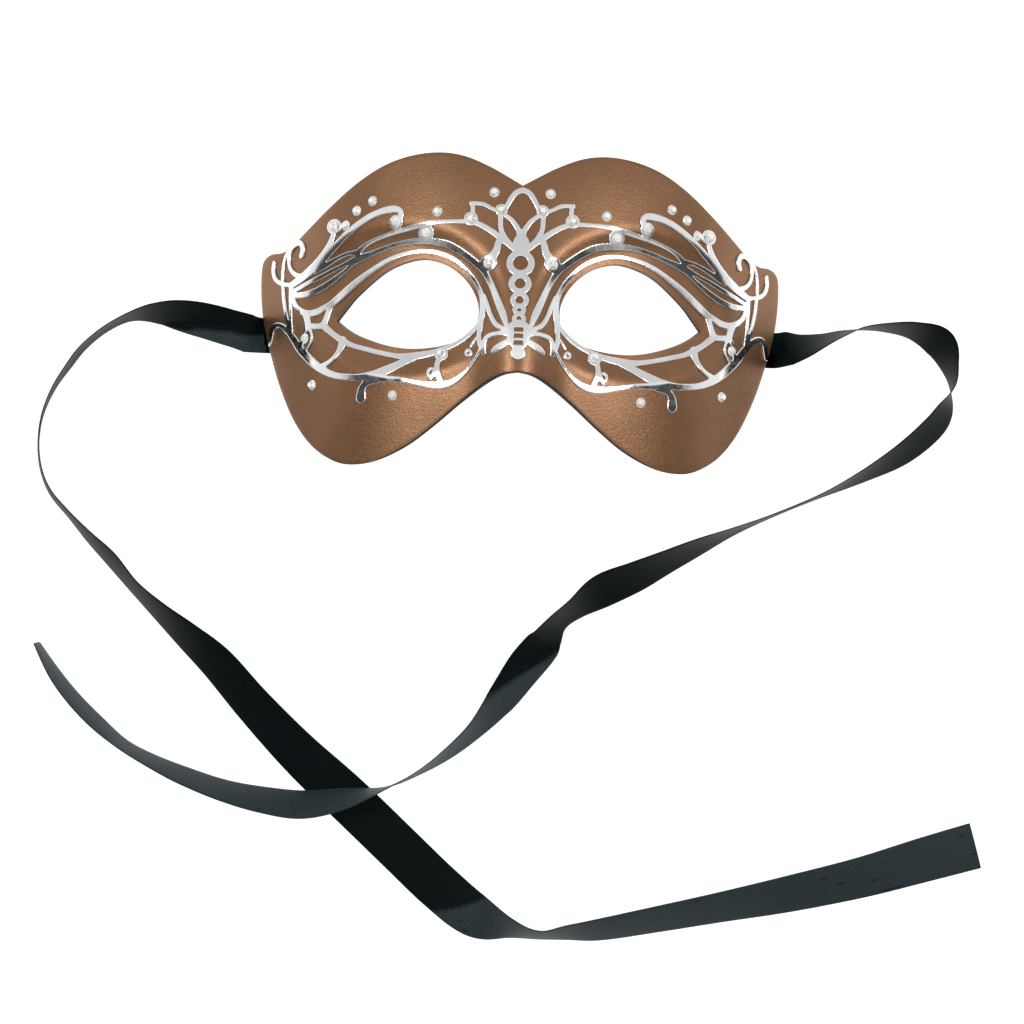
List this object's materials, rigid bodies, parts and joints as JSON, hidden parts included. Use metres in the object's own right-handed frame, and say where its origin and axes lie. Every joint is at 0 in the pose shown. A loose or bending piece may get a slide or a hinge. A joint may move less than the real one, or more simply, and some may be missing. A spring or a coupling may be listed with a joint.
{
  "type": "masquerade half mask",
  "caption": "Moulded half mask for the eyes and cheeks, covered in bronze leatherette with a metal filigree, crystals and satin tie ribbons.",
  "frame": {"origin": "middle of the mask's own box without its ribbons, on the plane that its two side flaps rest on", "axes": "+X to the right as seen from the front, +Y towards the forehead, +Z out of the face; the mask lies on its back with its hollow side down"},
  "size_m": [0.3246, 0.2617, 0.0567],
  "materials": {
    "moulded_core": "matt black moulded sheet, seen only at the cut edges",
    "bronze_leatherette": "fine grained metallic bronze leatherette, satin",
    "black_felt": "short black felt",
    "polished_metal": "polished laser-cut sheet with softened edges",
    "crystal": "faceted clear flat-back crystal with a silver foil back",
    "patch_fabric": "black cotton patch",
    "black_satin": "single-faced black satin ribbon with a fine diagonal weave"
  },
  "bodies": {
    "root": {"core_shell": "moulded_core", "face_cover": "bronze_leatherette", "felt_lining": "black_felt", "filigree_plate": "polished_metal", "crest_crystals": "crystal", "brow_crystal_left": "crystal", "brow_crystal_right": "crystal", "lid_crystals_left": "crystal", "lid_crystals_right": "crystal", "temple_crystals_left": "crystal", "temple_crystals_right": "crystal", "cheek_crystals_left": "crystal", "cheek_crystals_right": "crystal", "ribbon_patch_left": "patch_fabric", "ribbon_patch_right": "patch_fabric", "ribbon_left": "black_satin", "ribbon_right": "black_satin"}
  },
  "joints": []
}
